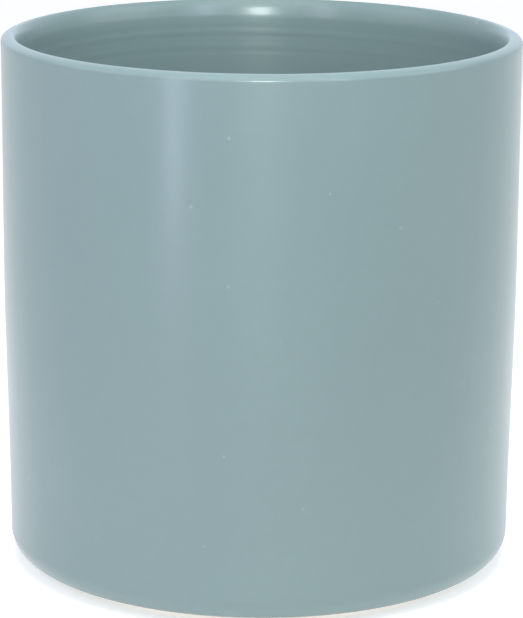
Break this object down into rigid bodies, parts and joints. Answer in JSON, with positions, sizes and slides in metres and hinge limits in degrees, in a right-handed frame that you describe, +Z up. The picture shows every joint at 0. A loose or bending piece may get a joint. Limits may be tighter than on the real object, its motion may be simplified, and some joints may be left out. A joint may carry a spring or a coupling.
{
  "type": "brush holder pot",
  "caption": "Straight-sided glazed stoneware cup with a rounded lip and flat base, for standing writing and painting brushes on a desk.",
  "frame": {"origin": "on the pot's axis, on the surface that it stands on", "axes": "+Z up along the pot's axis of revolution, towards the open mouth; the felt pads lie between +X and +Y and every quarter turn from there"},
  "size_m": [0.125, 0.125, 0.1295],
  "materials": {
    "bare_stoneware": "matte",
    "satin_glaze": "satin",
    "grey_felt": "matte"
  },
  "bodies": {
    "root": {"stoneware_body": "bare_stoneware", "glaze_coat": "satin_glaze", "felt_pad_1": "grey_felt", "felt_pad_2": "grey_felt", "felt_pad_3": "grey_felt", "felt_pad_4": "grey_felt"}
  },
  "joints": []
}
